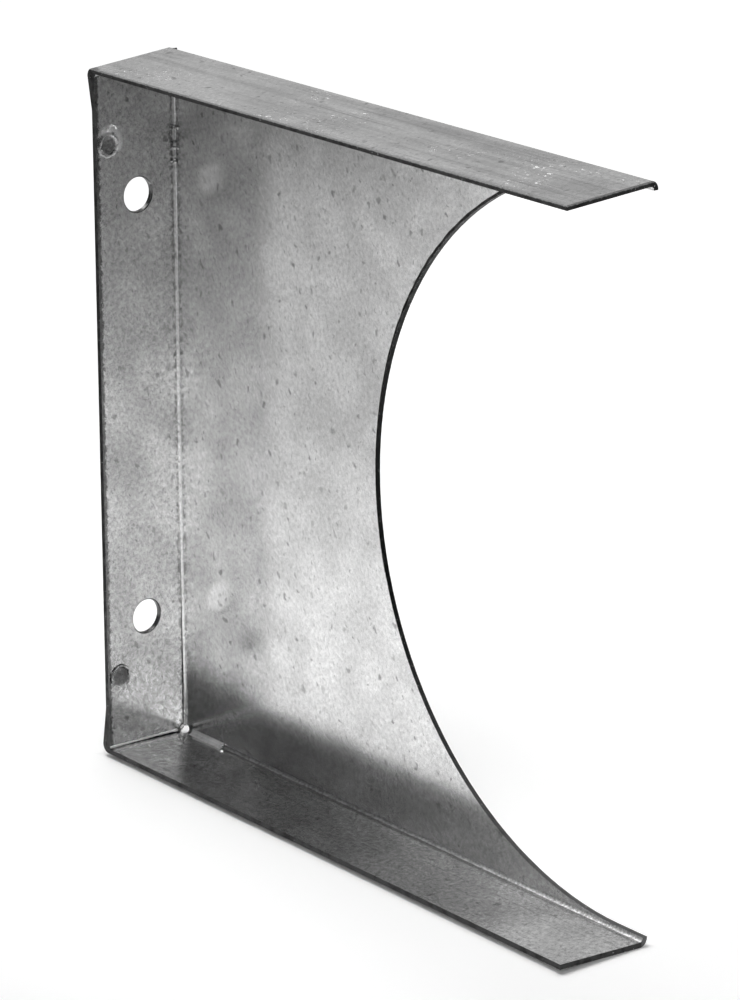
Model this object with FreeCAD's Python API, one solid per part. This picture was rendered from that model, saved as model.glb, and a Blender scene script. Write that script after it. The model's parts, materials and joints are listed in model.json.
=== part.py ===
"""Downpipe bracket folded from one piece of galvanised sheet.

A flat web carries a round saddle for the downpipe. Three flanges are folded forward from the web: one above,
one below and one against the wall. The upper and lower flanges turn on behind the wall flange as lapped
corner tabs, and a spot weld near the front edge holds each tab.

X points out from the wall, Y from the front edges towards the web, and Z up. The origin is midway between the
two wall holes, on the rear face of the wall flange.
"""

import FreeCAD, Part
import math
import os

from FreeCAD import Vector

# Driving dimensions, in millimetres and degrees

# Sheet and folds
sheet = 0.75             # thickness of the sheet
bend_inside = 0.5        # inside radius of every fold
depth = 15.0             # front edges to the outer face of the web
flange_reach = 102.0     # rear face of the wall flange to the ends of the upper and lower flanges

# Saddle for the downpipe
pipe_diameter = 100.0    # outside diameter of the downpipe
saddle_clearance = 0.3   # all round the pipe
pipe_stand_off = 96.5    # rear face of the wall flange to the centre of the pipe
lip_height = 0.6         # web left standing above each flange beside the pipe

# Wall holes
hole_diameter = 5.0
hole_spacing = 63.0      # centre to centre
hole_from_front = 7.5    # front edge to the line of the holes

# Lapped corner tabs
tab_length = 15.5        # outer face of the flange to the end of the tab
tab_taper = 7.0          # slope of the tab's front edge
tab_rear_step = 0.4      # tab's rear edge to the outer face of the web
lap_gap = 0.15           # between the tab and the wall flange
seam_gap = 0.1           # between the end of the wall flange and the flange beside it, at the front edge
seam_slope = 0.8         # opens the seam towards the web
relief_diameter = 1.4    # round relief through the corner where the three folds meet

# Spot welds
weld_from_tab_end = 3.5  # end of the tab to the weld
weld_from_edge = 1.0     # front edge of the tab to the weld
weld_diameter = 1.6      # fused core between the two sheets
weld_mark_diameter = 2.8
weld_mark_depth = 0.12   # dimple left by the electrode

# Sizes that follow
bend_outside = bend_inside + sheet
saddle_radius = pipe_diameter / 2 + saddle_clearance
half_height = saddle_radius + lip_height + sheet
front = -hole_from_front
back = front + depth
wall_plane = -lap_gap - sheet
wall_flange_end = half_height - sheet - seam_gap
tab_fold_end = half_height - bend_outside
tab_end = half_height - tab_length
weld_height = tab_end + weld_from_tab_end

# A cutting body runs this far past what it cuts
past = sheet


def tab_front_edge(height):
    """Where the sloping front edge of the upper tab lies at a height."""
    return front + (tab_fold_end - height) * math.tan(math.radians(tab_taper))


weld_line = tab_front_edge(weld_height) + weld_from_edge


def folded_strip(outside, place, sweep):
    """A strip of sheet with the corner points of its outer face, and a square fold to the left at each.

    place puts a point of the section in space, and sweep is the direction and the length of the strip."""

    def inward(run):
        return Vector(-run.y, run.x, 0)

    def line(start, end):
        return Part.LineSegment(place(start.x, start.y), place(end.x, end.y)).toShape()

    def arc(*points):
        return Part.Arc(*[place(point.x, point.y) for point in points]).toShape()

    corners = [Vector(u, v, 0) for u, v in outside]
    runs = [(end - start).normalize() for start, end in zip(corners, corners[1:])]
    first_end = [corners[0], corners[0] + inward(runs[0]) * sheet]
    last_end = [corners[-1], corners[-1] + inward(runs[-1]) * sheet]
    edges = [line(*first_end), line(*last_end)]
    for face, radius in enumerate([bend_outside, bend_inside]):
        reached = first_end[face]
        for corner, run_in, run_out in zip(corners[1:-1], runs, runs[1:]):
            centre = corner + (inward(run_in) - run_in) * bend_outside
            bisector = (inward(run_in) + inward(run_out)).normalize()
            bend_start = centre - inward(run_in) * radius
            bend_end = centre - inward(run_out) * radius
            edges.append(line(reached, bend_start))
            edges.append(arc(bend_start, centre - bisector * radius, bend_end))
            reached = bend_end
        edges.append(line(reached, last_end[face]))
    section = Part.Wire(Part.__sortEdges__(edges))
    return Part.Face(section).extrude(sweep)


def channel():
    """The web with the upper and lower flanges, from the fold of the wall flange to the flange ends."""
    return folded_strip(
        outside=[(front, -half_height), (back, -half_height), (back, half_height), (front, half_height)],
        place=lambda y, z: Vector(bend_outside, y, z),
        sweep=Vector(flange_reach - bend_outside, 0, 0),
    )


def trimming(outline):
    """A body that trims the wall flange or a tab, with an outline given in Y and Z."""
    corners = [Vector(wall_plane - past, y, z) for y, z in outline]
    face = Part.Face(Part.makePolygon(corners + corners[:1]))
    return face.extrude(Vector(bend_outside - wall_plane + 2 * past, 0, 0))


def wall_flange():
    """The flange against the wall and the fold that joins it to the web. Its ends slope along the seams."""
    flange = folded_strip(
        outside=[(bend_outside + sheet, back), (0, back), (0, front)],
        place=lambda x, y: Vector(x, y, -wall_flange_end),
        sweep=Vector(0, 0, 2 * wall_flange_end),
    )
    opened = wall_flange_end - depth * math.tan(math.radians(seam_slope))
    above = trimming([(front, wall_flange_end), (back, opened), (back, half_height), (front, half_height)])
    below = above.mirror(Vector(0, 0, 0), Vector(0, 0, 1))
    return flange.cut([above, below])


def upper_tab():
    """The wall end of the upper flange, turned down behind the wall flange, with a sloping front edge."""
    tab = folded_strip(
        outside=[(bend_outside, half_height), (wall_plane, half_height), (wall_plane, tab_end)],
        place=lambda x, z: Vector(x, front, z),
        sweep=Vector(0, depth - tab_rear_step, 0),
    )
    below = tab_end - past
    beside = front - past
    slope = [(front, tab_fold_end), (tab_front_edge(below), below)]
    return tab.cut(trimming(slope + [(beside, below), (beside, tab_fold_end)]))


def saddle():
    """The room for the pipe: half a round, carried on past the flange ends by two straight sides."""
    top = Vector(pipe_stand_off, 0, saddle_radius)
    bottom = Vector(pipe_stand_off, 0, -saddle_radius)
    deepest = Vector(pipe_stand_off - saddle_radius, 0, 0)
    outward = Vector(flange_reach + past - pipe_stand_off, 0, 0)
    outline = Part.Wire([
        Part.Arc(top, deepest, bottom).toShape(),
        Part.LineSegment(bottom, bottom + outward).toShape(),
        Part.LineSegment(bottom + outward, top + outward).toShape(),
        Part.LineSegment(top + outward, top).toShape(),
    ])
    room = Part.Face(outline).extrude(Vector(0, bend_outside + 2 * past, 0))
    room.translate(Vector(0, back - bend_outside - past, 0))
    return room


def wall_hole(side):
    start = Vector(wall_plane - past, 0, side * hole_spacing / 2)
    return Part.makeCylinder(hole_diameter / 2, sheet - wall_plane + 2 * past, start, Vector(1, 0, 0))


def corner_relief(side):
    """A round hole along the diagonal of the corner between the inner faces of the three flanges."""
    inner_corner = Vector(sheet, back - sheet, side * (half_height - sheet))
    outward = Vector(-1, 1, side).normalize()
    reach = bend_outside + past
    return Part.makeCylinder(relief_diameter / 2, 2 * reach, inner_corner - outward * reach, outward)


def weld_core(side):
    """The fused core that joins a tab to the wall flange, from mid-sheet to mid-sheet."""
    start = Vector(wall_plane + sheet / 2, weld_line, side * weld_height)
    return Part.makeCylinder(weld_diameter / 2, sheet + lap_gap, start, Vector(1, 0, 0))


def weld_marks(side):
    """The two electrode dimples of a spot weld, inside the wall flange and outside the tab."""
    ball_radius = ((weld_mark_diameter / 2) ** 2 + weld_mark_depth ** 2) / (2 * weld_mark_depth)
    stand = ball_radius - weld_mark_depth
    return [
        Part.makeSphere(ball_radius, Vector(x, weld_line, side * weld_height))
        for x in (sheet + stand, wall_plane - stand)
    ]


def bracket():
    tab = upper_tab()
    lower_tab = tab.mirror(Vector(0, 0, 0), Vector(0, 0, 1))
    additions = [wall_flange(), tab, lower_tab]
    cuts = [saddle()]
    for side in (-1, 1):
        additions.append(weld_core(side))
        cuts += [wall_hole(side), corner_relief(side)]
        cuts += weld_marks(side)
    return channel().fuse(additions).cut(cuts).removeSplitter()


part = bracket()
solid = part.Solids[0]
print("solids", len(part.Solids), "valid", part.isValid(), "volume mm3", round(solid.Volume, 1))
os.makedirs("parts", exist_ok=True)
solid.exportStep("parts/folded_bracket.step")
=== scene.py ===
"""Downpipe bracket folded from galvanised sheet, seen in a plain white studio."""

import json
import math

import bmesh
import bpy
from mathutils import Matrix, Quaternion, Vector, noise
from mathutils.bvhtree import BVHTree


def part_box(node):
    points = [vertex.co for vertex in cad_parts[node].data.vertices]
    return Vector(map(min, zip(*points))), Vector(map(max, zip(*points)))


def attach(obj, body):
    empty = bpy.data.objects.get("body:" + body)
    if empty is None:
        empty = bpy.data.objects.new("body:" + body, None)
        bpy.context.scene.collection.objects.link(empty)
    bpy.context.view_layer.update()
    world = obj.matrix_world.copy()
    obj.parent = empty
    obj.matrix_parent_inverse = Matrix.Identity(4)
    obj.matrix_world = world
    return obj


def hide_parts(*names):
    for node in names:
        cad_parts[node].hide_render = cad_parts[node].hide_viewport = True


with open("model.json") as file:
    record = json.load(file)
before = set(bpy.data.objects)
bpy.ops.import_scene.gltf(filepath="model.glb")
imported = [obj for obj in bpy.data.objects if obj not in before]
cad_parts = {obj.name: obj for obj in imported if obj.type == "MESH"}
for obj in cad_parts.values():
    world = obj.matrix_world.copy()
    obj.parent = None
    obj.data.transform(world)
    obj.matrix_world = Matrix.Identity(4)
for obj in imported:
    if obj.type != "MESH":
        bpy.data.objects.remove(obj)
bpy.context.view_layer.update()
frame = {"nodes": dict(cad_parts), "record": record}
scene = bpy.context.scene
scene.view_settings.view_transform = "Standard"

mm = 0.001

# Sizes that come with the part
solid = frame["nodes"]["folded_bracket"]
low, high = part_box("folded_bracket")
mounts = {mount["name"]: mount for mount in frame["record"]["mounts"]}
pipe_centre = Vector(mounts["pipe_saddle"]["pos_m"])
saddle_radius = mounts["pipe_saddle"]["dims"]["r_mm"] * mm
sheet = mounts["pipe_saddle"]["dims"]["length_mm"] * mm
hole_radius = mounts["wall_holes"]["dims"]["hole_r_mm"] * mm
hole_height = mounts["wall_holes"]["dims"]["spacing_y_mm"] * mm / 2
inner_web = high.y - sheet
inner_wall = sheet
inner_floor = low.z + sheet

# Places of the materials in the list of the bracket's mesh
coat = 0
sheared_edge = 1
punched_edge = 2
strained_zinc = 3
upset_burr = 4
# The last place holds the lower fold's zinc with its painted highlight
fold_with_highlight = 5

# Distance at which two points count as one, and the angles up to which faces are flat and edges are soft
same_point = 0.0001 * mm
flat_up_to = 0.5
soft_up_to = 32

# An added patch sinks this far into the sheet at its edge
patch_sink = 0.02 * mm

# Rounded rim of each wall hole
rim_radius = 0.18 * mm
rim_steps = 4

# Burr along the front of the saddle, which grows from below its middle towards its top, painted dark as a
# stand-in for the dark reflection of its rim
saddle_burr_width = 0.42 * mm
saddle_burr_height = 0.06 * mm
saddle_burr_lift = 0.004 * mm
saddle_burr_starts = -8 * mm
saddle_burr_is_full = 32 * mm
saddle_burr_first_turn = 96
saddle_burr_turn = 100

# Burr along each end of the wall flange, beside the open seam
seam_gap = 0.1 * mm
seam_slope = 0.8
seam_burr_radius = 0.20 * mm

# Lean of the folded flanges at their front edges, as the photograph shows it
upper_lean = 0.9 * mm
lower_lean = 0.7 * mm
wall_lean = 0.9 * mm
wall_curl = 1.6
lean_starts = 36 * mm
lean_is_full = 48 * mm

# Spot welds on the wall flange
weld_height = 39.65 * mm
weld_line = -5.18 * mm
weld_crater = 1.4 * mm
weld_crater_depth = 0.05 * mm
weld_ring = 1.65 * mm
weld_ring_height = 0.10 * mm
weld_ring_width = 0.28 * mm
weld_ring_peaks = [125, 10]
weld_edge = 2.25 * mm
weld_unevenness = 0.035 * mm

# Second, lighter hit above the upper weld
second_hit = Vector((0, 0.75 * mm, 2.3 * mm))
second_hit_radius = 0.75 * mm
second_hit_height = 0.15 * mm
second_hit_width = 0.2 * mm

# Lower fold: the soft stretch beside the corner, and the inside radius there, past it and at the far end
soft_fold_start = 2.6 * mm
soft_fold_end = 10.2 * mm
soft_fold_radius = 0.75 * mm
fold_radius = 0.54 * mm
fold_end_radius = 0.75 * mm

# Where that fold widens and where its painted highlight brightens, and how far it stays from the web's edge
# and the flange's end
fold_widens = 60 * mm
fold_highlight_starts = 45 * mm
fold_highlight_is_full = 80 * mm
fold_below_web_edge = 0.02 * mm
fold_short_of_end = 0.01 * mm

# Drops of zinc in the back fold, given by their height, and one where the soft stretch ends
drop_heights = [40.2 * mm, 38.1 * mm, 37.2 * mm, 35.4 * mm]
drop_size = 0.26 * mm
drop_inset = 0.3 * mm

# Camera, as fitted to the photograph
camera_place = Vector((0.513119, -0.364246, 0.187644))
camera_forward = Vector((-0.746228, 0.591276, -0.305838))
camera_roll = 0.270
camera_lens = 164.57
sensor_width = 36.0

# White floor, with a glow that grows towards the back, pools of light round the part and no glow under it
floor_half_width = 6.0
floor_tone = 0.8
glow_toward = Vector((-0.35, 0.94, 0.0))
glow_start = -0.11
glow_end = 0.32
glow_full = 0.95
contact_width = 1.5 * mm
pools = [
    {"centre": (0.0, -0.05), "radius": 0.15, "strength": 0.12},
    {"centre": (-0.19, -0.21), "radius": 0.14, "strength": 0.42},
    {"centre": (0.16, -0.11), "radius": 0.10, "strength": 0.34},
    {"centre": (0.12, 0.01), "radius": 0.14, "strength": 0.34},
]

# Dim background: a broad patch to the back left, a brighter foot below it and a patch to the left
patches = [
    {"toward": (-0.75, 0.59, 0.35), "start": 0.55, "end": 1.0, "strength": 0.20},
    {"toward": (-0.77, 0.62, 0.12), "start": 0.88, "end": 1.0, "strength": 0.36},
    {"toward": (-0.78, -0.10, 0.60), "start": 0.82, "end": 1.0, "strength": 0.12},
]

# White card in front, seen only in the sheet, which fades out towards its left end
card_left = -0.34
card_right = 0.05
card_front = -0.25
card_top = 0.20
card_dark = -0.27
card_light = -0.16
card_strength = 0.92

# Softboxes, in metres and watts
softboxes = [
    {
        "name": "overhead",
        "place": (0.02, -0.03, 0.22),
        "aim": (0.02, -0.03, 0.0),
        "width": 0.16,
        "watts": 0.75,
    },
    {
        "name": "overhead_left",
        "place": (-0.14, 0.0, 0.14),
        "aim": (0.09, 0.0, -0.05),
        "width": 0.08,
        "watts": 0.06,
    },
    {
        "name": "overhead_back",
        "place": (-0.10, 0.20, 0.45),
        "aim": (0.0, 0.0, 0.0),
        "width": 0.35,
        "watts": 0.18,
    },
    {
        "name": "beside_camera",
        "place": (0.60, -0.565, 0.36),
        "aim": (0.02, 0.0, -0.03),
        "width": 0.16,
        "watts": 0.31,
    },
]


def smooth(start, end, value):
    """Goes from 0 at start to 1 at end, with soft ends."""
    share = min(max((value - start) / (end - start), 0.0), 1.0)
    return share * share * (3 - 2 * share)


def wander(amount, length, place, seed=0):
    """A factor that wanders about 1 along a burr or a fold."""
    return 1 + amount * noise.noise(Vector((place / length, seed, 0)))


# Sorting the faces of the solid


def near_weld(point):
    across = Vector((point.y - weld_line, abs(point.z) - weld_height))
    return point.x < 2 * sheet and across.length < 1.1 * weld_ring


def in_hole(point):
    across = Vector((point.y, abs(point.z) - hole_height))
    return point.x < 2 * sheet and across.length < 1.05 * hole_radius


def on_saddle(face, middle):
    reach = Vector((min(middle.x - pipe_centre.x, 0), middle.z)).length
    return middle.y > inner_web and abs(face.normal.y) < 0.5 and reach < saddle_radius + 0.05 * sheet


def is_sheared(face, middle, tree):
    """Whether a face was cut across the sheet: the metal behind it is deeper than the sheet is thick."""
    if near_weld(middle) or in_hole(middle):
        return False
    if on_saddle(face, middle):
        return True
    start = middle - face.normal * 0.001 * sheet
    depth = tree.ray_cast(start, -face.normal)[3]
    return depth is None or depth > 1.1 * sheet


def sort_faces(body):
    """Tells the coat from the sheared edges and from the punched walls of the holes."""
    tree = BVHTree.FromBMesh(body)
    for face in body.faces:
        middle = face.calc_center_median()
        face.material_index = sheared_edge if is_sheared(face, middle, tree) else coat
        if in_hole(middle) and abs(face.normal.x) < 0.5:
            face.material_index = punched_edge


def is_hole_rim(edge):
    """Whether an edge lies between the wall of a hole and the inner face of the wall flange."""
    kinds = [face.material_index for face in edge.link_faces]
    if sorted(kinds) != [coat, punched_edge]:
        return False
    return edge.link_faces[kinds.index(coat)].normal.x > 0.95


def round_hole_rims(body):
    bmesh.ops.bevel(
        body,
        geom=[edge for edge in body.edges if is_hole_rim(edge)],
        affect="EDGES",
        offset=rim_radius,
        offset_type="OFFSET",
        segments=rim_steps,
        profile=0.5,
        clamp_overlap=True,
        material=punched_edge,
    )


# Small forms on the sheet


def add_grid(body, rows, material):
    """Faces between rows of points, where each row has as many points as the next."""
    made = [[body.verts.new(point) for point in row] for row in rows]
    for row, after in zip(made, made[1:]):
        for index in range(len(row) - 1):
            face = body.faces.new((row[index], row[index + 1], after[index + 1], after[index]))
            face.material_index = material


def add_disc(body, centre, edge, rings, around, height):
    """A round patch on the wall flange, as high at each point as a function of the point says."""
    innermost = 0.02
    rows = []
    for step in range(around + 1):
        turn = math.tau * (step % around) / around
        row = []
        for ring in range(rings + 1):
            across = Vector((0, math.cos(turn), math.sin(turn))) * edge * max(ring, innermost) / rings
            row.append(centre + across + Vector((height(across), 0, 0)))
        rows.append(row)
    add_grid(body, rows, coat)


def weld_mark(body, side):
    """A spot weld: a rough shallow crater in a ring of squeezed-up metal, which has two peaks."""
    lump_size = 0.35 * mm
    drag_width = 0.30 * mm
    drag_length = 1.2 * mm
    peak_size = 0.8 * mm

    def ring_share(across):
        turn = math.atan2(across.z, across.y)
        peaks = [math.cos(turn - math.radians(peak)) for peak in weld_ring_peaks]
        uneven = 1 + 0.8 * noise.noise(across / peak_size + Vector((3 * side, 5, 0)))
        return (0.25 + max(*peaks, 0.0)) * uneven

    def roughness(across):
        lumps = noise.noise(across / lump_size + Vector((7 * side, 0, 0)))
        dragged = Vector(((across.y - across.z) / drag_width, across.z / drag_length, 4 * side))
        return weld_unevenness * (lumps + noise.noise(dragged))

    def height(across):
        radius = across.length
        bowl = -weld_crater_depth * smooth(weld_crater, 0.4 * weld_crater, radius)
        ring = weld_ring_height * math.exp(-((radius - weld_ring) / weld_ring_width) ** 2)
        rough = roughness(across) * smooth(weld_edge, weld_crater, radius)
        sink = -patch_sink * smooth(weld_ring, weld_edge, radius)
        return bowl + ring * ring_share(across) + rough + sink

    centre = Vector((inner_wall, weld_line, side * weld_height))
    add_disc(body, centre, weld_edge, rings=22, around=64, height=height)


def second_mark(body):
    """The arched mark of the second hit."""
    arch_starts = -0.4 * mm
    arch_is_full = 0.3 * mm

    def height(across):
        arch = smooth(arch_starts, arch_is_full, across.z)
        ridge = math.exp(-((across.length - second_hit_radius) / second_hit_width) ** 2)
        return second_hit_height * arch * ridge - patch_sink

    centre = Vector((inner_wall, weld_line, weld_height)) + second_hit
    add_disc(body, centre, 1.7 * second_hit_radius, rings=14, around=36, height=height)


def seam_burr(body, side):
    """The upset edge of the wall flange beside an open seam."""
    steps = 70
    around = 10
    last = inner_web - 2 * sheet
    rows = []
    for step in range(steps + 1):
        y = low.y + (last - low.y) * step / steps
        opened = seam_gap + (y - low.y) * math.tan(math.radians(seam_slope))
        radius = seam_burr_radius * wander(0.4, 0.9 * mm, y, side)
        middle = Vector((inner_wall, y, side * (-inner_floor - opened - 0.5 * seam_burr_radius)))
        row = []
        for turn in range(around + 1):
            angle = math.tau * (turn % around) / around
            row.append(middle + Vector((math.cos(angle), 0, math.sin(angle))) * radius)
        rows.append(row)
    add_grid(body, rows, upset_burr)


def saddle_burr_painted_dark(body):
    """The low burr on the inner face of the web, along the saddle, in the near-black cut-edge material: a
    painted dark reflection.
    """
    steps = 160
    across = 6
    rows = []
    for step in range(steps + 1):
        turn = math.radians(saddle_burr_first_turn + saddle_burr_turn * step / steps)
        height = saddle_radius * math.sin(turn)
        width = saddle_burr_width * smooth(saddle_burr_starts, saddle_burr_is_full, height)
        width *= wander(0.25, 1.5 * mm, height)
        row = []
        for part in range(across + 1):
            reach = saddle_radius + width * part / across
            lift = saddle_burr_height * math.sin(math.pi * part / across) + saddle_burr_lift
            along = Vector((math.cos(turn), 0, math.sin(turn))) * reach
            row.append(Vector((pipe_centre.x, inner_web - lift, pipe_centre.z)) + along)
        rows.append(row)
    # Painted dark reflection: the burr takes the near-black cut-edge material
    add_grid(body, rows, sheared_edge)


def web_height(x):
    """How far the inner side of the web stands above the lower flange."""
    off = max(pipe_centre.x - x, 0.0)
    return abs(inner_floor) - math.sqrt(max(saddle_radius ** 2 - off ** 2, 0.0))


def strained_fold(body, start, end, radius, end_radius, material):
    """A stretch of the lower fold, where the zinc is strained and the inside radius uneven."""
    steps = 10
    step_length = 0.4 * mm
    lengths = math.ceil((end - start) / step_length)
    rows = []
    for length in range(lengths + 1):
        x = start + (end - start) * length / lengths
        wanted = radius + (end_radius - radius) * smooth(fold_widens, high.x, x)
        reach = min(wanted * wander(0.07, 1.2 * mm, x), web_height(x) - fold_below_web_edge)
        row = []
        for step in range(steps + 1):
            turn = math.radians(90) * step / steps
            y = inner_web - reach + reach * math.sin(turn)
            z = inner_floor + reach - reach * math.cos(turn)
            row.append(Vector((x, y, z)))
        rows.append(row)
    add_grid(body, rows, material)


def zinc_drop(body, centre, stretch, seed):
    """A small lump of zinc that stayed in a fold."""
    made = bmesh.ops.create_icosphere(body, subdivisions=3, radius=1.0)
    for vert in made["verts"]:
        lumps = 1 + 0.35 * noise.noise(vert.co * 1.7 + Vector((seed, 0, 0)))
        off = Vector([part * along for part, along in zip(vert.co, stretch)])
        vert.co = centre + off * drop_size * lumps


def zinc_drops(body):
    for seed, height in enumerate(drop_heights):
        size = 0.8 + 0.4 * noise.noise(Vector((seed + 0.5, 0, 0)))
        centre = Vector((inner_wall + drop_inset, inner_web - drop_inset, height))
        zinc_drop(body, centre, (size, size, 1.3 * size), seed)
    centre = Vector((soft_fold_end, inner_web - drop_inset, inner_floor + drop_inset))
    zinc_drop(body, centre, (1.4, 1.0, 1.0), -1)


def add_small_forms(body):
    saddle_burr_painted_dark(body)
    for side in (-1, 1):
        weld_mark(body, side)
        seam_burr(body, side)
    second_mark(body)
    strained_fold(body, soft_fold_start, soft_fold_end, soft_fold_radius, soft_fold_radius, strained_zinc)
    strained_fold(body, soft_fold_end, high.x - fold_short_of_end, fold_radius, fold_end_radius, fold_with_highlight)
    zinc_drops(body)


def lean(point):
    """Where a point of the square part lies on the part as it was folded."""
    share = min(max((inner_web - point.y) / (inner_web - low.y), 0.0), 1.0)
    upper = smooth(lean_starts, lean_is_full, point.z)
    lower = smooth(lean_starts, lean_is_full, -point.z)
    wall = 1 - smooth(2 * sheet, 4 * sheet, point.x)
    sideways = wall_lean * wall * share ** wall_curl
    return point + Vector((sideways, 0, (lower_lean * lower - upper_lean * upper) * share))


def bracket_mesh():
    body = bmesh.new()
    body.from_mesh(solid.data)
    bmesh.ops.remove_doubles(body, verts=body.verts, dist=same_point)
    sort_faces(body)
    bmesh.ops.dissolve_limit(
        body, angle_limit=math.radians(flat_up_to), verts=body.verts, edges=body.edges, delimit={"MATERIAL"}
    )
    round_hole_rims(body)
    add_small_forms(body)
    bmesh.ops.remove_doubles(body, verts=body.verts, dist=same_point)
    for vert in body.verts:
        vert.co = lean(vert.co)
    for face in body.faces:
        face.smooth = True
    made = bpy.data.meshes.new("bracket")
    body.to_mesh(made)
    body.free()
    made.set_sharp_from_angle(angle=math.radians(soft_up_to))
    return made


# Shader helpers


def add(tree, kind, inputs=None, **settings):
    """A new node with its settings, and each input linked to a socket or given a value."""
    made = tree.nodes.new("ShaderNode" + kind)
    for name, value in settings.items():
        setattr(made, name, value)
    for name, value in (inputs or {}).items():
        if isinstance(value, bpy.types.NodeSocket):
            tree.links.new(value, made.inputs[name])
        else:
            made.inputs[name].default_value = value
    return made


def math_node(tree, operation, first, second=0.0, third=0.0):
    return add(tree, "Math", {0: first, 1: second, 2: third}, operation=operation).outputs[0]


def product(tree, values):
    total = values[0]
    for value in values[1:]:
        total = math_node(tree, "MULTIPLY", total, value)
    return total


def scaled_sum(tree, value, factor, added):
    return math_node(tree, "MULTIPLY_ADD", value, factor, added)


def over(tree, value, limit):
    return math_node(tree, "GREATER_THAN", value, limit)


def under(tree, value, limit):
    return math_node(tree, "LESS_THAN", value, limit)


def size_of(tree, value):
    return math_node(tree, "ABSOLUTE", value)


def choose(tree, mask, without, within):
    """One value where a mask is 0, and another where it is 1."""
    return add(tree, "Mix", {"Factor": mask, 2: without, 3: within}, data_type="FLOAT").outputs[0]


def ramp(tree, value, start, end, to_start=0.0, to_end=1.0, shape="SMOOTHSTEP"):
    """A step from one value to another, with soft ends unless the shape is LINEAR."""
    inputs = {"Value": value, "From Min": start, "From Max": end, "To Min": to_start, "To Max": to_end}
    return add(tree, "MapRange", inputs, interpolation_type=shape).outputs["Result"]


def weakened(tree, mask, amount):
    """1 where the mask is 0, and lower by the amount where it is 1."""
    return scaled_sum(tree, mask, -amount, 1.0)


def split(tree, vector):
    return list(add(tree, "SeparateXYZ", {0: vector}).outputs)


def in_millimetres(tree):
    place = add(tree, "TexCoord").outputs["Object"]
    return add(tree, "VectorMath", {0: place, "Scale": 1 / mm}, operation="SCALE").outputs["Vector"]


def noise_value(tree, place, per_mm, detail, roughness=0.5):
    inputs = {"Vector": place, "Scale": per_mm, "Detail": detail, "Roughness": roughness}
    return add(tree, "TexNoise", inputs).outputs["Fac"]


def new_tree(name):
    made = bpy.data.materials.new(name)
    made.use_nodes = True
    made.node_tree.nodes.clear()
    return made, made.node_tree


def finish_tree(tree, shader):
    tree.links.new(shader, tree.nodes.new("ShaderNodeOutputMaterial").inputs["Surface"])


def relief(tree, height, strength, distance):
    return add(tree, "Bump", {"Strength": strength, "Distance": distance, "Height": height}).outputs[0]


def finish_metal(tree, base, metallic, roughness, normal):
    """Ends a tree with a grey metal of a base tone."""
    colour = add(tree, "CombineColor", {0: base, 1: base, 2: base}).outputs[0]
    inputs = {"Base Color": colour, "Metallic": metallic, "Roughness": roughness, "Normal": normal}
    finish_tree(tree, add(tree, "BsdfPrincipled", inputs).outputs[0])


# Galvanised sheet, with places in millimetres


def flat_place(tree, x, y, z, on_wall, on_flange):
    """Place on the flat blank before it was folded."""
    along = choose(tree, on_wall, x, y)
    across = choose(tree, on_flange, z, y)
    return add(tree, "CombineXYZ", {0: along, 1: across, 2: 0.0}).outputs[0]


def bent_place(tree, place, flat):
    """The same place, moved about a little so that no mark is straight."""
    wobble = add(tree, "TexNoise", {"Vector": place, "Scale": 0.9, "Detail": 1.0}).outputs["Color"]
    shift = add(tree, "VectorMath", {0: wobble, 1: (0.5, 0.5, 0.5)}, operation="SUBTRACT").outputs[0]
    shift = add(tree, "VectorMath", {0: shift, "Scale": 1.4}, operation="SCALE").outputs[0]
    return add(tree, "VectorMath", {0: flat, 1: shift}, operation="ADD").outputs[0]


def turned_place(tree, flat, angle, width, length):
    """Place turned by an angle and counted in cells of a width and a length."""
    inputs = {"Vector": flat, "Rotation": (0, 0, math.radians(angle)), "Scale": (width, length, 1.0)}
    return add(tree, "Mapping", inputs, vector_type="TEXTURE").outputs["Vector"]


def flecks(tree, flat, width, length, smallest, largest, angle):
    """Scattered soft flecks, each a stretched spot in its own cell of the sheet, few of them large."""
    turned = turned_place(tree, flat, angle, width, length)
    cells = add(tree, "TexVoronoi", {"Vector": turned, "Scale": 1.0}, voronoi_dimensions="2D")
    chances = add(tree, "SeparateColor", {"Color": cells.outputs["Color"]})
    chance = math_node(tree, "POWER", chances.outputs["Red"], 2.0)
    size = scaled_sum(tree, chance, largest - smallest, smallest)
    spot = ramp(tree, math_node(tree, "DIVIDE", cells.outputs["Distance"], size), 0.3, 1.0, 1.0, 0.0)
    return product(tree, [spot, scaled_sum(tree, chances.outputs["Green"], 0.8, 0.2)])


def rough_specks(tree, place, bent, on_outside):
    """Specks of rough zinc on the upper flange, in loose clusters and along a line towards its free end."""
    line_slope = 0.155
    line_at_wall = -10.5
    x, y = split(tree, place)[:2]
    off_line = math_node(tree, "SUBTRACT", y, scaled_sum(tree, x, line_slope, line_at_wall))
    on_line = product(tree, [
        ramp(tree, size_of(tree, off_line), 0.4, 1.2, 1.0, 0.0),
        ramp(tree, x, 66.0, 78.0),
    ])
    cluster = ramp(tree, noise_value(tree, place, per_mm=0.11, detail=0.0), 0.62, 0.74)
    specks = flecks(tree, bent, width=0.9, length=0.7, smallest=0.02, largest=0.45, angle=0)
    return product(tree, [specks, on_outside, math_node(tree, "MAXIMUM", on_line, cluster)])


def lengthwise_noise(tree, place, along, across):
    """Noise drawn out along X, with its scale per millimetre along and across."""
    stretched = add(tree, "Mapping", {"Vector": place, "Scale": (along, across, 1.0)}).outputs["Vector"]
    return noise_value(tree, stretched, per_mm=1.0, detail=2.0, roughness=0.6)


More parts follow.
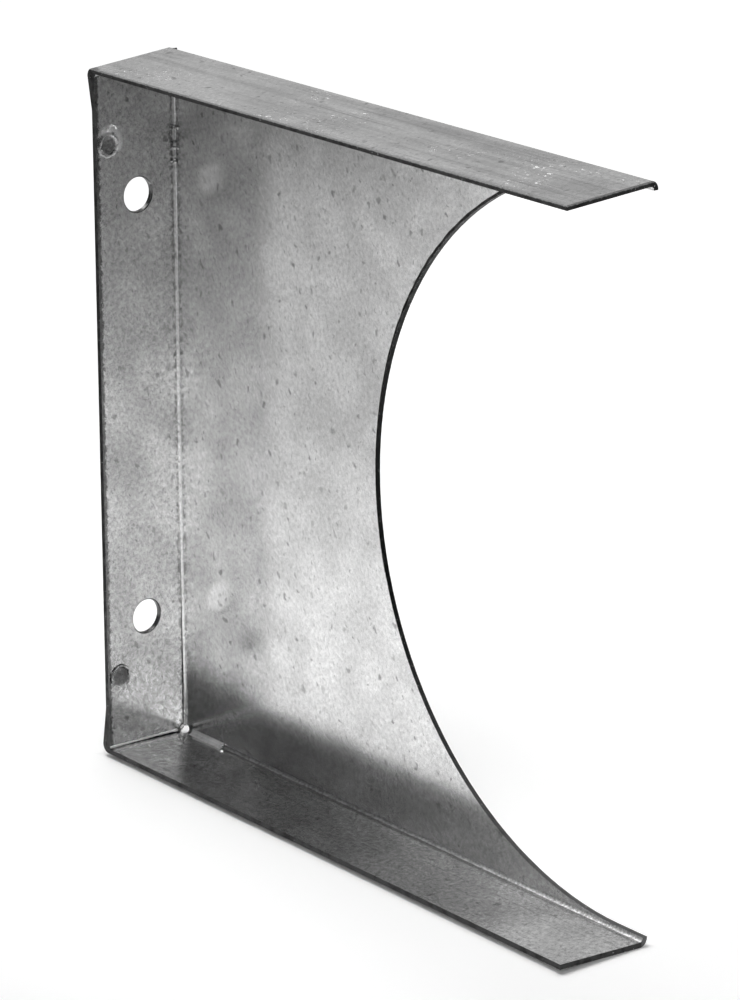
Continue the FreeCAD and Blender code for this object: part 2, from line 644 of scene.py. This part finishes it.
def weld_burns(tree, place, uneven, near_wall):
    """Burnt zinc in the spot welds, and the lighter halo to one side of the upper one."""
    y, z = split(tree, place)[1:]
    off_y = math_node(tree, "SUBTRACT", y, weld_line / mm)
    off_z = math_node(tree, "SUBTRACT", size_of(tree, z), weld_height / mm)
    off = add(tree, "CombineXYZ", {0: off_y, 1: off_z, 2: 0.0}).outputs[0]
    reach = add(tree, "VectorMath", {0: off}, operation="LENGTH").outputs["Value"]
    reach = scaled_sum(tree, uneven, 1.6, reach)
    burnt = product(tree, [ramp(tree, reach, 1.0, 1.6, 1.0, 0.0), near_wall])
    halo = product(tree, [
        ramp(tree, reach, 1.2, 1.7),
        ramp(tree, reach, 1.8, 3.0, 1.0, 0.0),
        ramp(tree, math_node(tree, "ADD", off_y, off_z), -0.5, 1.5),
        over(tree, z, 0.0),
        near_wall,
    ])
    return burnt, halo


def fold_dirt(tree, place, uneven):
    """Dirt in the upper part of the back fold, and dark dots beside all of it."""
    x, y, z = split(tree, place)
    from_wall = math_node(tree, "SUBTRACT", x, inner_wall / mm)
    from_web = math_node(tree, "SUBTRACT", inner_web / mm, y)
    reach = math_node(tree, "MAXIMUM", from_wall, from_web)
    inside = ramp(tree, math_node(tree, "MINIMUM", from_wall, from_web), -0.4, -0.2)
    dirt = product(tree, [
        ramp(tree, scaled_sum(tree, uneven, 3.0, reach), 0.3, 1.4, 1.0, 0.0),
        ramp(tree, z, 33.0, 36.0),
        ramp(tree, z, 39.5, 42.0, 1.0, 0.15),
        ramp(tree, uneven, -0.10, 0.04, 1.0, 0.3),
        inside,
    ])
    dots = product(tree, [
        ramp(tree, reach, 0.30, 0.55),
        ramp(tree, reach, 0.60, 1.10, 1.0, 0.0),
        ramp(tree, noise_value(tree, place, per_mm=1.7, detail=1.0), 0.50, 0.62),
        inside,
    ])
    return dirt, dots


def ragged_edge(tree, y, uneven, near_wall):
    """The dark ragged strip along the front edge of the wall flange."""
    from_front = math_node(tree, "SUBTRACT", y, low.y / mm)
    strip = ramp(tree, scaled_sum(tree, uneven, 1.8, from_front), 0.40, 0.80, 1.0, 0.0)
    return product(tree, [strip, near_wall])


def galvanised_steel():
    """The zinc coat: mottled grain and soft blotches, with the marks of making, use and dirt."""
    clean_tone = 0.72
    least_roughness = 0.165
    least_grain = 1.6
    more_on_wall = 0.8
    more_on_floor = 1.4
    square_on = 0.7
    wall_reach = 2.6
    wave_depth = 0.012 * mm

    made, tree = new_tree("galvanised_steel")
    place = in_millimetres(tree)
    x, y, z = split(tree, place)
    facing = split(tree, add(tree, "NewGeometry").outputs["True Normal"])
    on_wall = over(tree, size_of(tree, facing[0]), square_on)
    on_flange = over(tree, size_of(tree, facing[2]), square_on)
    on_top = over(tree, facing[2], square_on)
    on_outside = product(tree, [on_top, over(tree, z, 0.0)])
    on_floor = product(tree, [on_top, under(tree, z, 0.0)])
    near_wall = under(tree, x, wall_reach)

    flat = flat_place(tree, x, y, z, on_wall, on_flange)
    bent = bent_place(tree, place, flat)
    leaning = turned_place(tree, flat, angle=25, width=1.0, length=1.3)
    mottle = noise_value(tree, leaning, per_mm=1.5, detail=4.5, roughness=0.9)
    uneven = math_node(tree, "SUBTRACT", mottle, 0.5)
    grain = scaled_sum(tree, on_floor, more_on_floor, least_grain)
    grain = scaled_sum(tree, on_wall, more_on_wall, grain)
    blotch = noise_value(tree, place, per_mm=0.13, detail=1.0)

    large = flecks(tree, bent, width=2.3, length=3.2, smallest=0.04, largest=0.24, angle=28)
    small = flecks(tree, bent, width=1.0, length=1.9, smallest=0.05, largest=0.26, angle=20)
    specks = rough_specks(tree, place, bent, on_outside)
    scratch = ramp(tree, lengthwise_noise(tree, place, along=0.035, across=3.2), 0.54, 0.70)
    scratch = product(tree, [scratch, on_top])
    streak = product(tree, [lengthwise_noise(tree, place, along=0.025, across=0.55), on_outside])
    burnt, halo = weld_burns(tree, place, uneven, near_wall)
    dirt, dots = fold_dirt(tree, place, uneven)

    darkened = [
        (large, 0.55),
        (small, 0.35),
        (scratch, 0.22),
        (ramp(tree, streak, 0.35, 0.70), 0.28),
        (specks, -0.35),
        (burnt, 0.60),
        (dirt, 0.55),
        (dots, 0.45),
        (ragged_edge(tree, y, uneven, near_wall), 0.70),
        (halo, -0.40),
    ]
    tones = [scaled_sum(tree, uneven, grain, 1.0), ramp(tree, blotch, 0.35, 0.65, 0.92, 1.08)]
    tones += [weakened(tree, mask, amount) for mask, amount in darkened]
    base = product(tree, tones + [clean_tone])

    roughened = [(mottle, 0.06), (large, 0.05), (specks, 0.25), (burnt, 0.20), (halo, 0.25)]
    roughness = least_roughness
    for mask, amount in roughened:
        roughness = scaled_sum(tree, mask, amount, roughness)
    waves = noise_value(tree, place, per_mm=0.07, detail=0.0)
    normal = relief(tree, waves, strength=1.0, distance=wave_depth)
    finish_metal(tree, base, 1.0, roughness, normal)
    return made


# Cut edges and worn zinc, with places in millimetres too

worn_metallic = 0.85


def torn_surface(tree, place):
    """Fine tears over a surface, and the relief that they give it."""
    tears = noise_value(tree, place, per_mm=2.4, detail=2.0, roughness=0.6)
    return tears, relief(tree, tears, strength=0.6, distance=0.03 * mm)


def painted_top_sheen(tree, y, z, tears):
    """The light strip along the upper edge of the leaning upper flange: a burnished rim, its sheen painted
    in as a lighter colour.
    """
    leaned = ramp(tree, y, inner_web / mm, low.y / mm, 0.0, upper_lean / mm, shape="LINEAR")
    below_top = math_node(tree, "SUBTRACT", high.z / mm, math_node(tree, "ADD", z, leaned))
    return ramp(tree, scaled_sum(tree, tears, -0.3, below_top), 0.02, 0.20, 0.45, 0.0)


def worn_metal(name, dark, light, roughness):
    """Bare steel of a cut edge or roughened zinc, stained unevenly and nicked here and there, with painted
    light towards the top and bottom of the part and on the lower saddle.
    """
    made, tree = new_tree(name)
    place = in_millimetres(tree)
    y, z = split(tree, place)[1:]
    tears, normal = torn_surface(tree, place)
    nicks = ramp(tree, tears, 0.67, 0.74, 0.0, 0.45)
    stains_and_painted_light = noise_value(tree, place, per_mm=0.7, detail=2.0, roughness=0.6)
    # Painted light: darker at mid height and lighter towards the top and bottom, where the saddle's cut
    # edge turns to face up and down
    stains_and_painted_light = math_node(tree, "ADD", stains_and_painted_light, ramp(tree, size_of(tree, z), 15.0, 48.0, -0.12, 0.12))
    base = math_node(tree, "ADD", ramp(tree, stains_and_painted_light, 0.35, 0.70, dark, light), nicks)
    # Painted sheen: a lighter colour along the top of the upper flange's cut edges
    base = math_node(tree, "MAXIMUM", base, painted_top_sheen(tree, y, z, tears))
    # Painted light on the lower part of the saddle's cut edge, which faces up
    in_web = over(tree, y, inner_web / mm - 0.2)
    painted_light_low_on_saddle = product(tree, [ramp(tree, z, -34.0, -14.0, 0.10, 0.0), in_web])
    base = math_node(tree, "ADD", base, painted_light_low_on_saddle)
    finish_metal(tree, base, worn_metallic, roughness, normal)
    return made


def fold_zinc_and_highlight():
    """Strained zinc in the lower fold, with a painted highlight: a light line along its middle, brighter
    towards the free end.
    """
    made, tree = new_tree("fold_zinc_and_highlight")
    place = in_millimetres(tree)
    x, y = split(tree, place)[:2]
    tears, normal = torn_surface(tree, place)
    radius = ramp(tree, x, fold_widens / mm, high.x / mm, fold_radius / mm, fold_end_radius / mm)
    across = math_node(tree, "DIVIDE", math_node(tree, "SUBTRACT", inner_web / mm, y), radius)
    # Painted highlight: a light line along the middle of the fold's curve
    line = product(tree, [
        ramp(tree, across, 0.0, 0.25, 0.4, 1.0),
        ramp(tree, across, 0.40, 0.72, 1.0, 0.0),
    ])
    highlight_growth = ramp(tree, x, fold_highlight_starts / mm, fold_highlight_is_full / mm, shape="LINEAR")
    beside = scaled_sum(tree, highlight_growth, 0.12, 0.10)
    highlight_gain = scaled_sum(tree, highlight_growth, 0.40, 0.12)
    base = product(tree, [scaled_sum(tree, line, highlight_gain, beside), ramp(tree, tears, 0.35, 0.65, 0.7, 1.3)])
    finish_metal(tree, base, worn_metallic, 0.50, normal)
    return made


# Bracket


def bracket_materials():
    """The materials in the order of their places in the mesh's list."""
    return [
        galvanised_steel(),
        worn_metal("sheared_edge", dark=0.008, light=0.055, roughness=0.52),
        worn_metal("punched_edge", dark=0.09, light=0.18, roughness=0.25),
        worn_metal("strained_zinc", dark=0.38, light=0.65, roughness=0.50),
        worn_metal("burr", dark=0.85, light=0.98, roughness=0.80),
        # Zinc of the lower fold, with a painted highlight along it
        fold_zinc_and_highlight(),
    ]


mesh = bracket_mesh()
for material in bracket_materials():
    mesh.materials.append(material)
bracket = bpy.data.objects.new("bracket", mesh)
scene.collection.objects.link(bracket)
normals = bracket.modifiers.new("normals", "WEIGHTED_NORMAL")
normals.keep_sharp = True
normals.weight = 60
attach(bracket, "root")
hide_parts("folded_bracket")


# Studio


def stage_plane(name, corners):
    made = bpy.data.meshes.new(name)
    made.from_pydata(corners, [], [(0, 1, 2, 3)])
    plane = bpy.data.objects.new(name, made)
    scene.collection.objects.link(plane)
    material, tree = new_tree(name)
    made.materials.append(material)
    return tree


def clear_of_part(tree, place):
    """0 on the floor under the part, and 1 beside it."""
    middle = (low + high) / 2
    half = (high - low) / 2
    off = add(tree, "VectorMath", {0: place, 1: middle}, operation="SUBTRACT").outputs[0]
    off = split(tree, add(tree, "VectorMath", {0: off}, operation="ABSOLUTE").outputs[0])
    beyond_x = math_node(tree, "SUBTRACT", off[0], half.x)
    beyond_y = math_node(tree, "SUBTRACT", off[1], half.y)
    beyond = math_node(tree, "MAXIMUM", beyond_x, beyond_y)
    return ramp(tree, beyond, -contact_width, contact_width)


def floor():
    half = floor_half_width
    corners = [(-half, -half, low.z), (half, -half, low.z), (half, half, low.z), (-half, half, low.z)]
    tree = stage_plane("floor", corners)
    place = add(tree, "TexCoord").outputs["Object"]
    behind = add(tree, "VectorMath", {0: place, 1: glow_toward}, operation="DOT_PRODUCT").outputs["Value"]
    strength = ramp(tree, behind, glow_start, glow_end, 0.0, glow_full)
    for pool in pools:
        centre = (*pool["centre"], low.z)
        off = add(tree, "VectorMath", {0: place, 1: centre}, operation="DISTANCE").outputs["Value"]
        light = ramp(tree, off, 0.0, pool["radius"], pool["strength"], 0.0)
        strength = math_node(tree, "ADD", strength, light)
    path = add(tree, "LightPath")
    seen = math_node(tree, "MAXIMUM", path.outputs["Is Camera Ray"], path.outputs["Is Glossy Ray"])
    seen = math_node(tree, "MAXIMUM", seen, path.outputs["Is Transmission Ray"])
    strength = product(tree, [strength, clear_of_part(tree, place), seen])
    matt = add(tree, "BsdfDiffuse", {"Color": (floor_tone, floor_tone, floor_tone, 1)})
    glow = add(tree, "Emission", {"Strength": strength})
    finish_tree(tree, add(tree, "AddShader", {0: matt.outputs[0], 1: glow.outputs[0]}).outputs[0])


def card():
    tree = stage_plane("card", [
        (card_left, card_front, low.z),
        (card_right, card_front, low.z),
        (card_right, card_front, card_top),
        (card_left, card_front, card_top),
    ])
    aside = split(tree, add(tree, "TexCoord").outputs["Object"])[0]
    strength = ramp(tree, aside, card_dark, card_light, 0.0, card_strength)
    seen = add(tree, "LightPath").outputs["Is Glossy Ray"]
    glow = add(tree, "Emission", {"Strength": product(tree, [strength, seen])})
    clear = add(tree, "BsdfTransparent")
    finish_tree(tree, add(tree, "AddShader", {0: clear.outputs[0], 1: glow.outputs[0]}).outputs[0])


def surroundings():
    world = bpy.data.worlds.new("studio")
    scene.world = world
    world.use_nodes = True
    tree = world.node_tree
    tree.nodes.clear()
    toward = add(tree, "TexCoord").outputs["Generated"]
    level = 0.0
    for patch in patches:
        aim = Vector(patch["toward"]).normalized()
        share = add(tree, "VectorMath", {0: toward, 1: aim}, operation="DOT_PRODUCT").outputs["Value"]
        light = ramp(tree, share, patch["start"], patch["end"], 0.0, patch["strength"])
        level = math_node(tree, "ADD", light, level)
    sky = add(tree, "Background", {"Color": (1, 1, 1, 1), "Strength": level})
    tree.links.new(sky.outputs[0], tree.nodes.new("ShaderNodeOutputWorld").inputs["Surface"])


def softbox(name, place, aim, width, watts):
    data = bpy.data.lights.new(name, "AREA")
    data.shape = "SQUARE"
    data.size = width
    data.energy = watts
    lamp = bpy.data.objects.new(name, data)
    lamp.location = place
    lamp.rotation_euler = (Vector(aim) - Vector(place)).to_track_quat("-Z", "Y").to_euler()
    scene.collection.objects.link(lamp)


def viewpoint():
    data = bpy.data.cameras.new("camera")
    data.sensor_width = sensor_width
    data.lens = camera_lens
    data.clip_start = 0.01
    data.clip_end = 50
    camera = bpy.data.objects.new("camera", data)
    camera.location = camera_place
    camera.rotation_mode = "QUATERNION"
    roll = Quaternion(camera_forward, math.radians(camera_roll))
    camera.rotation_quaternion = roll @ camera_forward.to_track_quat("-Z", "Y")
    scene.collection.objects.link(camera)
    scene.camera = camera


floor()
card()
surroundings()
for box in softboxes:
    softbox(**box)
viewpoint()
